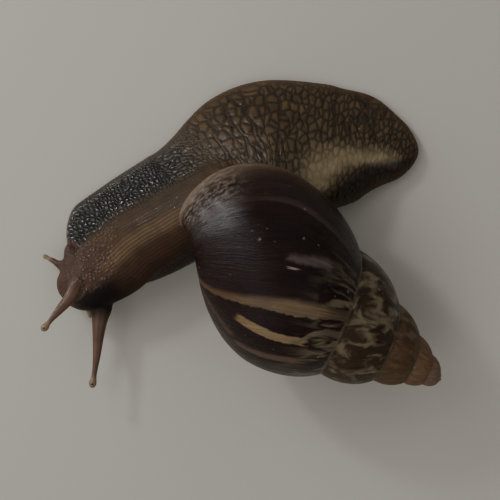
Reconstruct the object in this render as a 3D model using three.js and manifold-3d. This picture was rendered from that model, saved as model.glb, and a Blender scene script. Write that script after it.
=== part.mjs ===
// A giant African land snail (Lissachatina fulica), life size, crawling with its shell hanging to its left.
// Millimetres, +Z up. The sole is on Z = 0, the head points to -X, and the tail to +X.

import * as THREE from 'three';
import { mergeVertices } from 'three/addons/utils/BufferGeometryUtils.js';
import Module from 'manifold-3d';

const wasm = await Module();
wasm.setup();
const { Manifold } = wasm;

// ---- driving dimensions ----

const gap = 0.3;                      // clearance between neighbouring pieces

// The shell is a self-similar spiral. Its section is given for the newest growth line, at the lip, as heights
// along the axis from the spiral's own apex and as reaches outwards from the axis.
const shell = {
  apex: [55, -40, 14.5],              // where the whorls would shrink to nothing
  heading: 30.6,                      // degrees that the axis turns from -X towards +Y, apex to base
  tilt: 5.5,                          // degrees that the base end is raised
  growth: 1.596,                      // how much larger each turn is than the one before
  swell: 0.1,                         // how much wider the older whorls are than that makes them
  swellFrom: 0.37,                    // turns back from the lip between which they widen
  swellTo: 1.09,
  turns: 5,
  stepsPerTurn: 24,
  lipAngle: 96,                       // place of the lip round the axis, in degrees from straight up
  centreRadius: 2.4,
  centreHeight: 62.8,
  reachOut: 23.9,
  reachUp: 29.4,
  reachDown: 28.3,
  fullnessUp: 2.03,                   // superellipse powers of the shoulder and the base
  fullnessDown: 1.76,
  baseSweep: 78,                      // degrees that growth lines trail at the base end
  sweepFrom: 80,                      // place on the section, in degrees, where they start to trail
  sweepPower: 2.5,
  sectionSteps: 16,
  wedgeSteps: 6,                      // steps in each solid wedge, a quarter of a turn
  wall: 1.2,
  apertureDepth: 0.075,               // turns that the mouth is hollowed back
  inner: 0.15,                        // sections stop just clear of the axis, which the core fills
  coreRadius: 0.7,
  columella: 1.6,                     // radius of the pillar left beside the mouth
  nucleusRadius: 1.9,
};

// Stations of the foot from front to tail: x, y of its middle, half width, ridge height, ridge offset (to the
// animal's right is plus).
const footStations = [
  [-45.4, -6.4, 7.6, 4.5, -1],
  [-41.3, -4.1, 11.3, 6.5, -2.0],
  [-29.9, 0.1, 14.5, 10.0, -3.4],
  [-16.5, 7.6, 15.3, 13.5, -6.1],
  [-11.2, 12.6, 14.3, 15.5, -8.4],
  [-5.5, 16.6, 16.1, 18.0, -11.2],
  [0.8, 20.7, 17.6, 19.7, -13.4],
  [8.7, 23.1, 17.9, 20.5, -14.3],
  [21.9, 23, 17.0, 15.5, -12.1],
  [28.1, 23.2, 15.6, 11.5, -7.9],
  [34.3, 23.4, 13.3, 8.6, -5.0],
  [41.8, 22.2, 8.5, 6.0, -1.9],
  [47.7, 21.7, 5.4, 4.4, -0.3],
];
const foot = {
  sideReach: 0.05,                    // over which the sideways direction is evened out
  rim: 1.2,                           // thickness of the sole's edge
  right: 1.5,                         // superellipse powers of the two flanks
  left: 2.2,
  arcSteps: 12,
  tipHalf: 0.4,                       // half width left at the very ends
  frontRound: 6.5,                    // length of the rounded front and tail ends
  tailRound: 5.6,
  frontCut: 0.417,                    // where the foot is parted, as a share of its stations
  tailCut: 0.707,
};

// Stations of the neck and head from inside the shell to the lips: x, y, z, half width, half height.
const neckStations = [
  [-0.6, 9, 13.5, 9.6, 10],
  [-7, 7.1, 12.5, 9.4, 9.5],
  [-13.7, 4.4, 11, 8.7, 8.6],
  [-20.2, 0.8, 9.9, 8.8, 7.7],
  [-27.2, -3.4, 9.4, 9, 7.2],
  [-32.1, -7.6, 9, 9.2, 6.9],
  [-36.6, -10.7, 8.7, 8.7, 6.7],
  [-40.1, -12.9, 8.2, 7.9, 6.5],
  [-43.4, -13.3, 7.2, 6.8, 5.8],
  [-46, -12.9, 6.2, 4.7, 4.7],
  [-47.7, -12.5, 5.5, 2.9, 3.4],
  [-48.5, -12.3, 5.2, 1.1, 1.5],
];
const neck = {
  fullness: 2.15,                     // superellipse power of its sections
  sides: 16,
  headCut: 0.5,                       // where the head is parted from it, as a share of its stations
  cut: 0.008,                         // and the width of that cut, in the same measure
};

// Each feeler's axis from inside the head to its tip, with its radius: x, y, z, radius.
const feelers = {
  upper_tentacle_right: [
    [-40.2, -10.9, 11.5, 2.9],
    [-41.8, -13.2, 13, 2.3],
    [-44.1, -17.1, 14, 1.6],
    [-46.9, -20.5, 14.8, 1.05],
    [-49, -23.1, 15.4, 0.62],
    [-50.1, -24.5, 15.8, 1],
  ],
  upper_tentacle_left: [
    [-37.1, -16.3, 7, 3.4],
    [-36.8, -20, 7.6, 3],
    [-37, -23.1, 8.3, 2.15],
    [-37.3, -27, 9, 1.55],
    [-37.6, -31.7, 9.5, 1.1],
    [-38.2, -37, 10, 0.68],
    [-38.6, -39.4, 10.2, 1.02],
  ],
  lower_tentacle_right: [
    [-45.9, -9.8, 4.6, 1.9],
    [-48.4, -8.4, 4.1, 1.2],
    [-50.3, -7.4, 3.8, 0.72],
    [-51.3, -6.9, 3.6, 0.55],
    [-52.1, -6.5, 3.5, 0.65],
  ],
  lower_tentacle_left: [
    [-41.2, -18, 4.2, 1.3],
    [-40.6, -20.2, 3.8, 0.8],
    [-40.2, -22.1, 3.5, 0.6],
  ],
};
const feeler = { sides: 10, knobLatitudes: [30, 60, 82] };
const eye = {
  radius: 0.42,
  clearance: 0.12,
  proud: 0.12,                        // how far it stands out of its knob
  lean: 20,                           // degrees that it leans towards the feeler's tip
};

const colours = {
  shell: '#2b1f1d',
  mantle: '#5b4b3c',
  neck: '#4a3b2f',
  head: '#48372f',
  foot_front: '#302d27',
  foot_middle: '#3c3226',
  tail: '#4f4232',
  feeler: '#5f4f44',
  eye: '#0d0a09',
};

// ---- helpers ----

const radians = THREE.MathUtils.degToRad;
const { clamp, lerp, smoothstep } = THREE.MathUtils;

// Smooth values between stations; t runs from 0 at the first station to 1 at the last.
function between(stations, t) {
  const last = stations.length - 1;
  const place = clamp(t, 0, 1) * last;
  const i = Math.min(Math.floor(place), last - 1);
  const f = place - i;
  const near = [-1, 0, 1, 2].map((step) => stations[clamp(i + step, 0, last)]);
  return stations[0].map((_, column) => {
    const [before, from, to, after] = near.map((station) => station[column]);
    const leave = (to - before) / 2;
    const arrive = (after - from) / 2;
    const bend = 3 * (to - from) - 2 * leave - arrive;
    const ease = 2 * (from - to) + leave + arrive;
    return from + f * (leave + f * (bend + f * ease));
  });
}

// The same stations with one more value each, their distance in plan from the first.
function withDistance(stations) {
  let distance = 0;
  return stations.map((station, i) => {
    if (i > 0) distance += Math.hypot(station[0] - stations[i - 1][0], station[1] - stations[i - 1][1]);
    return [...station, distance];
  });
}

// The sideways direction in plan at t: a quarter turn to the left of the way the stations run.
function sideAt(stations, t, reach = 0.01) {
  const [xa, ya] = between(stations, t - reach);
  const [xb, yb] = between(stations, t + reach);
  return new THREE.Vector3(ya - yb, xb - xa, 0).normalize();
}

// A closed mesh through rings of points: each ring joins the next, and each end is fanned from its middle.
function loft(rings) {
  const sides = rings[0].length;
  const middle = (ring) => ring.reduce((sum, p) => sum.add(p), new THREE.Vector3()).divideScalar(sides);
  const points = rings.flat().concat([middle(rings[0]), middle(rings.at(-1))]);
  const firstMiddle = rings.length * sides;
  const lastStart = firstMiddle - sides;
  const faces = [];
  for (let j = 0; j < sides; j += 1) {
    const next = (j + 1) % sides;
    for (let i = 0; i + 1 < rings.length; i += 1) {
      const here = i * sides;
      const there = here + sides;
      faces.push(here + j, there + j, there + next, here + j, there + next, here + next);
    }
    faces.push(firstMiddle, j, next, firstMiddle + 1, lastStart + next, lastStart + j);
  }
  const geometry = new THREE.BufferGeometry();
  geometry.setAttribute('position', new THREE.Float32BufferAttribute(points.flatMap((p) => p.toArray()), 3));
  geometry.setIndex(faces);
  return geometry;
}

// Turns a closed geometry into a manifold solid that faces outwards.
function solid(geometry) {
  const bare = geometry.clone();
  bare.deleteAttribute('normal');
  bare.deleteAttribute('uv');
  const merged = mergeVertices(bare, 1e-5);
  const position = merged.getAttribute('position').array;
  const index = Uint32Array.from(merged.getIndex().array);
  const corner = (i) => new THREE.Vector3().fromArray(position, index[i] * 3);
  let volume = 0;
  for (let i = 0; i < index.length; i += 3) volume += corner(i).dot(corner(i + 1).cross(corner(i + 2)));
  if (volume < 0) index.reverse();
  const vertProperties = new Float32Array(position);
  return new Manifold(new wasm.Mesh({ numProp: 3, vertProperties, triVerts: index }));
}

// The largest piece of a solid, without the crumbs that a cut may leave.
function mainPiece(manifold) {
  return manifold.decompose().reduce((best, piece) => (piece.volume() > best.volume() ? piece : best));
}

function geometryOf(manifold) {
  const mesh = manifold.getMesh();
  const geometry = new THREE.BufferGeometry();
  geometry.setAttribute('position', new THREE.BufferAttribute(mesh.vertProperties, 3));
  geometry.setIndex(new THREE.BufferAttribute(mesh.triVerts, 1));
  return geometry;
}

const group = new THREE.Group();
function addNode(name, manifold, color, roughness) {
  const geometry = geometryOf(manifold).toNonIndexed();
  geometry.computeVertexNormals();
  const mesh = new THREE.Mesh(geometry, new THREE.MeshStandardMaterial({ color, roughness, metalness: 0 }));
  mesh.name = name;
  group.add(mesh);
}

// ---- shell ----

const heading = radians(shell.heading);
const tilt = radians(shell.tilt);
const apex = new THREE.Vector3(...shell.apex);
const level = new THREE.Vector3(-Math.cos(heading), Math.sin(heading), 0);
const axis = level.multiplyScalar(Math.cos(tilt)).setZ(Math.sin(tilt));
const upward = new THREE.Vector3(0, 0, 1).addScaledVector(axis, -axis.z).normalize();
const sideward = new THREE.Vector3().crossVectors(axis, upward);

// A point of the spiral: u is the turn, 0 at the lip and less before it, angle runs over the section from the
// shoulder (0) to the base (180), and grow moves the point outwards. A given radius takes the section's place.
function shellPoint(u, angle, grow, radiusAt) {
  const down = angle > 90;
  const across = Math.sin(radians(angle));
  const along = Math.cos(radians(angle));
  const power = 2 / (down ? shell.fullnessDown : shell.fullnessUp);
  const trailing = clamp((angle - shell.sweepFrom) / (180 - shell.sweepFrom), 0, 1) ** shell.sweepPower;
  const turn = u - (shell.baseSweep * trailing) / 360;
  const scale = shell.growth ** turn;
  const reach = (down ? shell.reachDown : shell.reachUp) * scale + grow;
  const height = shell.centreHeight * scale - Math.sign(along) * reach * Math.abs(along) ** power;
  const swollen = 1 + shell.swell * smoothstep(-turn, shell.swellFrom, shell.swellTo);
  const reachOut = shell.reachOut * scale * swollen + grow;
  const outward = shell.centreRadius * scale * swollen + reachOut * Math.max(across, 0) ** power;
  const radius = radiusAt ?? outward;
  const around = radians(shell.lipAngle + 360 * turn);
  return apex.clone()
    .addScaledVector(axis, height)
    .addScaledVector(upward, radius * Math.cos(around))
    .addScaledVector(sideward, radius * Math.sin(around));
}

// One growth line as a closed ring, from the inner edge over the shoulder to the base.
function shellRing(u, grow) {
  const ring = [shellPoint(u, 0, grow, shell.inner)];
  const step = 180 / shell.sectionSteps;
  for (let k = 0; k <= shell.sectionSteps; k += 1) ring.push(shellPoint(u, k * step, grow));
  ring.push(shellPoint(u, 180, grow, shell.inner));
  return ring;
}

function shellWedge(from, to, steps, grow) {
  const rings = [];
  for (let i = 0; i <= steps; i += 1) rings.push(shellRing(lerp(from, to, i / steps), grow));
  return solid(loft(rings));
}

// A round bar on the shell's axis between two heights.
function axisBar(radius, from, to) {
  const bar = new THREE.CylinderGeometry(radius, radius, to - from, 10);
  bar.translate(0, (from + to) / 2, 0);
  bar.applyQuaternion(new THREE.Quaternion().setFromUnitVectors(new THREE.Vector3(0, 1, 0), axis));
  bar.translate(...shell.apex);
  return solid(bar);
}

// All whorls from the first up to the growth line at u = end.
function whorls(end, grow) {
  const step = 1 / shell.stepsPerTurn;
  const wedges = [];
  for (let from = -shell.turns; from < end - 1e-6; from += shell.wedgeSteps * step) {
    const to = Math.min(from + shell.wedgeSteps * step, end);
    wedges.push(shellWedge(from, to, Math.max(1, Math.round((to - from) / step)), grow));
  }
  const first = shell.growth ** -shell.turns;
  const coreEnd = shell.growth ** (end - 1) * (shell.centreHeight + shell.reachDown / 2);
  const core = axisBar(shell.coreRadius, shell.centreHeight * first, coreEnd);
  const nucleus = new THREE.SphereGeometry(shell.nucleusRadius + grow, 14, 8);
  const nucleusCentre = apex.clone().addScaledVector(axis, shell.centreHeight * first);
  nucleus.translate(...nucleusCentre.toArray());
  return Manifold.union([...wedges, core, solid(nucleus)]);
}

const depth = shell.apertureDepth;
const older = -0.75;                  // the turn up to which whorls show inside the mouth
const olderWhorls = whorls(older, 0);
const wholeShell = whorls(0, 0);
const shellLength = shell.centreHeight + shell.reachDown;
const pillar = axisBar(shell.columella, 0, shellLength);
const mouth = shellWedge(-depth, 0.02, 3, -shell.wall).subtract(olderWhorls).subtract(pillar);
const shellSolid = mainPiece(wholeShell.subtract(mouth).trimByPlane([0, 0, 1], 0));

// What flesh must stay out of: the shell a little larger, and dropped by the gap under its mouth.
const grownShell = whorls(0.002, gap);
const shellRoom = grownShell.add(grownShell.translate([0, 0, -gap]));

// The mantle collar fills the mouth and stops just inside the lip.
const pillarRoom = axisBar(shell.columella + 3 * gap, 0, shellLength);
const collarWedge = shellWedge(0.015 - depth, -0.008, 3, -shell.wall - gap);
const collarSolid = mainPiece(collarWedge.subtract(whorls(older, gap)).subtract(pillarRoom));

// ---- foot ----

const footPath = withDistance(footStations);
const footLength = footPath.at(-1).at(-1);

// How far an end is rounded off at a distance from it: 0 at the end itself, 1 past the rounded length.
function rounded(distance, length) {
  return Math.sqrt(1 - (1 - clamp(distance / length, 0, 1)) ** 2);
}

// One flat-soled section of the foot, from the left edge of the sole to the right and back over the ridge.
function footRing(t) {
  const [x, y, width, ridge, offset, distance] = between(footPath, t);
  const side = sideAt(footPath, t, foot.sideReach);
  const round = rounded(distance, foot.frontRound) * rounded(footLength - distance, foot.tailRound);
  const half = Math.max(width * round, foot.tipHalf);
  const height = (ridge - foot.rim) * Math.sqrt(round);
  const crest = offset * round;
  const profile = [[-half, 0], [half, 0]];
  for (let k = 0; k <= foot.arcSteps; k += 1) {
    const angle = (Math.PI * k) / foot.arcSteps;
    const onRight = 2 * k <= foot.arcSteps;
    const power = 2 / (onRight ? foot.right : foot.left);
    const reach = onRight ? half - crest : -half - crest;
    const across = crest + reach * Math.abs(Math.cos(angle)) ** power;
    profile.push([across, foot.rim + height * Math.abs(Math.sin(angle)) ** power]);
  }
  return profile.map(([across, z]) => new THREE.Vector3(x, y, z).addScaledVector(side, across));
}

function footPart(from, to, steps) {
  const rings = [];
  for (let i = 0; i <= steps; i += 1) rings.push(footRing(lerp(from, to, i / steps)));
  return solid(loft(rings));
}

// ---- neck and head ----

function neckRing(t, grow) {
  const [x, y, z, halfWidth, halfHeight] = between(neckStations, t);
  const side = sideAt(neckStations, t);
  const power = 2 / neck.fullness;
  const bulge = (value, reach) => Math.sign(value) * (reach + grow) * Math.abs(value) ** power;
  return Array.from({ length: neck.sides }, (_, k) => {
    const angle = (2 * Math.PI * k) / neck.sides;
    const up = bulge(Math.sin(angle), halfHeight);
    return new THREE.Vector3(x, y, z + up).addScaledVector(side, bulge(Math.cos(angle), halfWidth));
  });
}

function neckPart(from, to, steps, grow) {
  const rings = [];
  for (let i = 0; i <= steps; i += 1) rings.push(neckRing(lerp(from, to, i / steps), grow));
  return solid(loft(rings));
}

// ---- feelers and eyes ----

function feelerSolid(stations) {
  const steps = (stations.length - 1) * 2;
  const rings = [];
  let direction;
  const ringAt = (centre, radius) => {
    const across = new THREE.Vector3().crossVectors(direction, new THREE.Vector3(0, 0, 1)).normalize();
    const up = new THREE.Vector3().crossVectors(across, direction);
    return Array.from({ length: feeler.sides }, (_, k) => {
      const angle = (2 * Math.PI * k) / feeler.sides;
      return centre.clone()
        .addScaledVector(across, radius * Math.cos(angle))
        .addScaledVector(up, radius * Math.sin(angle));
    });
  };
  for (let i = 0; i <= steps; i += 1) {
    const [x, y, z, radius] = between(stations, i / steps);
    const behind = new THREE.Vector3(...between(stations, i / steps - 0.01));
    const ahead = new THREE.Vector3(...between(stations, i / steps + 0.01));
    direction = ahead.sub(behind).normalize();
    rings.push(ringAt(new THREE.Vector3(x, y, z), radius));
  }
  const [x, y, z, knob] = stations.at(-1);
  for (const latitude of feeler.knobLatitudes.map(radians)) {
    const centre = new THREE.Vector3(x, y, z).addScaledVector(direction, knob * Math.sin(latitude));
    rings.push(ringAt(centre, knob * Math.cos(latitude)));
  }
  return solid(loft(rings));
}

// An eye sits in the top of its feeler's knob, a little towards the tip.
function eyeCentre(stations) {
  const tip = new THREE.Vector3(...stations.at(-1));
  const direction = new THREE.Vector3(...stations.at(-2)).sub(tip).negate().setZ(0).normalize();
  direction.multiplyScalar(Math.sin(radians(eye.lean))).setZ(Math.cos(radians(eye.lean)));
  return tip.addScaledVector(direction, stations.at(-1)[3] + eye.proud - eye.radius);
}

function ball(centre, radius) {
  const sphere = new THREE.SphereGeometry(radius, 12, 8);
  sphere.translate(...centre.toArray());
  return solid(sphere);
}

// ---- assembly ----

const footCut = gap / 2 / footLength;
const footParts = {
  foot_front: footPart(0, foot.frontCut - footCut, 15),
  foot_middle: footPart(foot.frontCut + footCut, foot.tailCut - footCut, 9),
  tail: footPart(foot.tailCut + footCut, 1, 14),
};
const neckSolid = neckPart(0, neck.headCut - neck.cut / 2, 11, 0);
const headSolid = neckPart(neck.headCut + neck.cut / 2, 1, 12, 0);
const headRoom = neckPart(neck.headCut, 1, 12, gap);
const collarRoom = collarSolid.add(collarSolid.translate([0, 0, -gap]));
const shellAndCollarRoom = shellRoom.add(collarRoom);
const upperRoom = shellAndCollarRoom.add(neckPart(0, 1, 22, gap));

addNode('shell', shellSolid, colours.shell, 0.35);
addNode('mantle_collar', collarSolid, colours.mantle, 0.45);
for (const [name, part] of Object.entries(footParts)) {
  addNode(name, mainPiece(part.subtract(upperRoom)), colours[name], 0.5);
}
addNode('neck', mainPiece(neckSolid.subtract(shellAndCollarRoom)), colours.neck, 0.5);
addNode('head', headSolid, colours.head, 0.5);
for (const [name, stations] of Object.entries(feelers)) {
  let outer = mainPiece(feelerSolid(stations).subtract(headRoom));
  if (name.startsWith('upper')) {
    const centre = eyeCentre(stations);
    outer = outer.subtract(ball(centre, eye.radius + eye.clearance));
    addNode(name.replace('upper_tentacle', 'eye'), ball(centre, eye.radius), colours.eye, 0.2);
  }
  addNode(name, outer, colours.feeler, 0.4);
}

export default group;
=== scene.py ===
import math

import bpy
import numpy as np
from mathutils import Matrix, Vector


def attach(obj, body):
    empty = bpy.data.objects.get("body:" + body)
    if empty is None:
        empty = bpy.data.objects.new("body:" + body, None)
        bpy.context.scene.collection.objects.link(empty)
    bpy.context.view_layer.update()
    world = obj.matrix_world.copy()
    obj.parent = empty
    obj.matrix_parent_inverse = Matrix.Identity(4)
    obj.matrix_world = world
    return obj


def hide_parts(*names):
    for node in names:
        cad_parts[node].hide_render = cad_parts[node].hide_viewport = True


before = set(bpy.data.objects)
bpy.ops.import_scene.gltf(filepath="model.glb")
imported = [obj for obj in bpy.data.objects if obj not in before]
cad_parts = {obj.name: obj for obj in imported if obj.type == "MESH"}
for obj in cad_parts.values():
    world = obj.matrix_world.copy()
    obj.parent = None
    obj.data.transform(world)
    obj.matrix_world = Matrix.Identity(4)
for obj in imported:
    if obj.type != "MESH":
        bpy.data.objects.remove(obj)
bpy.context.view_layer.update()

# A giant African land snail, life size, crawling on a level floor with its shell hanging to its left.
# Lengths in the settings are in millimetres and angles in degrees. The head points to -X.

metresPerMm = 0.001


def linearColour(hexCode, alpha=1.0):
    channels = [int(hexCode[i:i + 2], 16) / 255 for i in (1, 3, 5)]
    return tuple(c / 12.92 if c <= 0.04045 else ((c + 0.055) / 1.055) ** 2.4 for c in channels) + (alpha,)


# Adds one node. Links are given by input name or number, as a value, a socket or a node's first output.
def addNode(tree, kind, links=None, **settings):
    node = tree.nodes.new(kind)
    for name, value in settings.items():
        setattr(node, name, value)
    for key, value in (links or {}).items():
        if isinstance(value, bpy.types.Node):
            value = value.outputs[0]
        if isinstance(value, bpy.types.NodeSocket):
            tree.links.new(value, node.inputs[key])
        else:
            node.inputs[key].default_value = value
    return node


# What a row of a node table can name: the node, its output, the inputs that the row fills in turn, and its settings.
# Any other word is the operation of a Math node.
fromNoise = ("Vector", "Scale", "Detail", "Roughness", "Distortion")
fromCells = ("Vector", "Scale", "Randomness")
rowNodes = {
    "range": ("ShaderNodeMapRange", 0, range(5), {}),
    "ease": ("ShaderNodeMapRange", 0, range(5), {"interpolation_type": "SMOOTHSTEP"}),
    "mix": ("ShaderNodeMix", 0, (0, 2, 3), {}),
    "blend": ("ShaderNodeMix", 2, (0, 6, 7), {"data_type": "RGBA"}),
    "point": ("ShaderNodeCombineXYZ", 0, range(3), {}),
    "first": ("ShaderNodeSeparateXYZ", 0, (0,), {}),
    "second": ("ShaderNodeSeparateXYZ", 1, (0,), {}),
    "scaled": ("ShaderNodeVectorMath", 0, (0, "Scale"), {"operation": "SCALE"}),
    "moved": ("ShaderNodeVectorMath", 0, (0, 1), {"operation": "ADD"}),
    "less": ("ShaderNodeVectorMath", 0, (0, 1), {"operation": "SUBTRACT"}),
    "times": ("ShaderNodeVectorMath", 0, (0, 1), {"operation": "MULTIPLY"}),
    "noise": ("ShaderNodeTexNoise", 0, fromNoise, {}),
    "noiseColour": ("ShaderNodeTexNoise", 1, fromNoise, {}),
    "noiseLine": ("ShaderNodeTexNoise", 0, ("W",) + fromNoise[1:], {"noise_dimensions": "1D"}),
    "cells": ("ShaderNodeTexVoronoi", 0, fromCells, {}),
    "cellColour": ("ShaderNodeTexVoronoi", 1, fromCells, {}),
    "flatCells": ("ShaderNodeTexVoronoi", 0, fromCells, {"voronoi_dimensions": "2D"}),
    "flatCellColour": ("ShaderNodeTexVoronoi", 1, fromCells, {"voronoi_dimensions": "2D"}),
    "cellEdges": ("ShaderNodeTexVoronoi", 0, fromCells, {"voronoi_dimensions": "2D", "feature": "DISTANCE_TO_EDGE"}),
}


# Works through a table of nodes. A row is a name for the result, a word, and parts: names of earlier results,
# colour codes or plain values.
def addRows(tree, values, rows):
    for name, word, *parts in rows:
        kind, output, inputs, settings = rowNodes.get(word, ("ShaderNodeMath", 0, range(3), {"operation": word}))
        links = {}
        for key, part in zip(inputs, parts):
            if isinstance(part, str):
                part = linearColour(part) if part.startswith("#") else values[part]
            links[key] = part
        values[name] = addNode(tree, kind, links, **settings).outputs[output]


# A new material, with what it reads at each point: the place in the object, and marks stored on the mesh.
def newMaterial(name, numbers=(), vectors=()):
    material = bpy.data.materials.new(name)
    material.use_nodes = True
    tree = material.node_tree
    tree.nodes.clear()
    values = {"spot": addNode(tree, "ShaderNodeTexCoord").outputs["Object"]}
    for output, marks in (("Fac", numbers), ("Vector", vectors)):
        for mark in marks:
            values[mark] = addNode(tree, "ShaderNodeAttribute", attribute_name=mark).outputs[output]
    return material, tree, values


def addSurface(tree, links):
    addNode(tree, "ShaderNodeOutputMaterial", {"Surface": addNode(tree, "ShaderNodeBsdfPrincipled", links)})


def newGeometryTree(name, inputs):
    tree = bpy.data.node_groups.new(name, "GeometryNodeTree")
    kinds = {**inputs, "material": "NodeSocketMaterial"}
    sockets = {label: tree.interface.new_socket(label, in_out="INPUT", socket_type=kind)
               for label, kind in kinds.items()}
    tree.interface.new_socket("Geometry", in_out="OUTPUT", socket_type="NodeSocketGeometry")
    return tree, sockets, addNode(tree, "NodeGroupInput").outputs


def endGeometryTree(tree, geometry, material):
    smooth = addNode(tree, "GeometryNodeSetShadeSmooth", {"Geometry": geometry})
    real = addNode(tree, "GeometryNodeRealizeInstances", {"Geometry": smooth})
    finished = addNode(tree, "GeometryNodeSetMaterial", {"Geometry": real, "Material": material})
    addNode(tree, "NodeGroupOutput", {0: finished})


# Swaps in the plain mesh that an object's modifier makes.
def bakeModifier(piece, modifier):
    graph = bpy.context.evaluated_depsgraph_get()
    mesh = bpy.data.meshes.new_from_object(piece.evaluated_get(graph), preserve_all_data_layers=True, depsgraph=graph)
    piece.modifiers.remove(modifier)
    piece.data = mesh
    mesh.name = piece.name
    return mesh


# Runs a Geometry Nodes tree on an object, with its named inputs.
def applyTree(piece, tree, sockets, values):
    modifier = piece.modifiers.new(tree.name, "NODES")
    modifier.node_group = tree
    for label, value in values.items():
        modifier[sockets[label].identifier] = value
    mesh = bakeModifier(piece, modifier)
    mesh.materials.clear()
    mesh.materials.append(values["material"])
    mesh.polygons.foreach_set("material_index", [0] * len(mesh.polygons))


def makePiece(name, points, faces):
    mesh = bpy.data.meshes.new(name)
    mesh.from_pydata(np.asarray(points).tolist(), [], [list(map(int, face)) for face in faces])
    mesh.update()
    piece = bpy.data.objects.new(name, mesh)
    bpy.context.collection.objects.link(piece)
    return piece


def getPoints(mesh):
    flat = np.empty(len(mesh.vertices) * 3, dtype=np.float32)
    mesh.vertices.foreach_get("co", flat)
    return flat.reshape(-1, 3).astype(float)


def setPoints(mesh, points):
    mesh.vertices.foreach_set("co", np.asarray(points, dtype=np.float32).ravel())
    mesh.update()


def addAttribute(mesh, name, values, kind="FLOAT"):
    attribute = mesh.attributes.new(name, kind, "POINT")
    field = "vector" if kind == "FLOAT_VECTOR" else "value"
    attribute.data.foreach_set(field, np.asarray(values, dtype=np.float32).ravel())


def smoothStep(low, high, value):
    t = np.clip((np.asarray(value, float) - low) / (high - low), 0, 1)
    return t * t * (3 - 2 * t)


def unit(vectors):
    return vectors / np.linalg.norm(vectors, axis=-1, keepdims=True)


def roundAngles(count):
    return np.linspace(0, 2 * np.pi, count, endpoint=False)


# Cosine and sine bent to a superellipse. A fullness of 2 is round, and more is squarer.
def bentRound(angle, fullness):
    return (np.sign(side) * np.abs(side) ** (2 / fullness) for side in (np.cos(angle), np.sin(angle)))


def raised(heights):
    return heights[..., None] * np.array((0, 0, 1.0))


# Smooth values between stations; t runs from 0 at the first station to 1 at the last.
def between(stations, t):
    rows = np.asarray(stations, float)
    last = len(rows) - 1
    place = np.clip(np.asarray(t, float), 0, 1) * last
    i = np.minimum(place.astype(int), last - 1)
    f = (place - i)[..., None]
    before, start, end, after = (rows[np.clip(i + step, 0, last)] for step in (-1, 0, 1, 2))
    leave, arrive = (end - before) / 2, (after - start) / 2
    return start + f * (leave + f * (3 * (end - start) - 2 * leave - arrive + f * (2 * (start - end) + leave + arrive)))


# The sideways direction in plan at t.
def sideAt(stations, t, reach=0.01):
    a, b = between(stations, t - reach), between(stations, t + reach)
    return unit(np.stack([a[..., 1] - b[..., 1], b[..., 0] - a[..., 0], np.zeros_like(a[..., 0])], axis=-1))


# Camera, floor and light
stage = {
    "cameraHeight": 320,
    "cameraAt": (2.5, -4.7),
    "frameWidth": 135,  # what the camera sees at floor level
    "floorSize": 2400,
    "floorColour": "#b5b0a5",
    "floorRoughness": 0.9,
    "skyColour": "#e2e2e0",
    "skyStrength": 0.2,
    # soft boxes stand round the stage: bearing, height angle, distance, size and power of each
    "boxes": ((150, 38, 470, 460, 1.06), (62, 42, 760, 640, 0.7), (235, 44, 700, 600, 1.6), (335, 50, 760, 600, 0.55),
              (158, 5, 480, 80, 0.4), (140, 36, 470, 50, 0.5)),
}


def buildStage():
    camera = bpy.data.objects.new("camera", bpy.data.cameras.new("camera"))
    bpy.context.collection.objects.link(camera)
    camera.location = Vector((*stage["cameraAt"], stage["cameraHeight"])) * metresPerMm
    camera.data.angle = 2 * math.atan(stage["frameWidth"] / 2 / stage["cameraHeight"])
    camera.data.clip_start = 0.01
    bpy.context.scene.camera = camera

    half = stage["floorSize"] / 2 * metresPerMm
    floor = makePiece("floor", [(-half, -half, 0), (half, -half, 0), (half, half, 0), (-half, half, 0)], [(0, 1, 2, 3)])
    material, tree, _ = newMaterial("matt_painted_board")
    addSurface(tree, {"Base Color": linearColour(stage["floorColour"]), "Roughness": stage["floorRoughness"]})
    floor.data.materials.append(material)

    world = bpy.data.worlds.new("studio")
    world.use_nodes = True
    background = world.node_tree.nodes["Background"]
    background.inputs["Color"].default_value = linearColour(stage["skyColour"])
    background.inputs["Strength"].default_value = stage["skyStrength"]
    bpy.context.scene.world = world

    for bearing, rise, distance, size, power in stage["boxes"]:
        turn, lift = math.radians(bearing), math.radians(rise)
        flat = distance * math.cos(lift)
        place = Vector((flat * math.cos(turn), flat * math.sin(turn), distance * math.sin(lift)))
        lamp = bpy.data.lights.new(f"box_{bearing}", "AREA")
        lamp.size = size * metresPerMm
        lamp.energy = power
        lampObject = bpy.data.objects.new(lamp.name, lamp)
        bpy.context.collection.objects.link(lampObject)
        lampObject.location = place * metresPerMm
        lampObject.rotation_euler = place.to_track_quat("Z", "Y").to_euler()
    print("stage ready")


buildStage()

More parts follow.
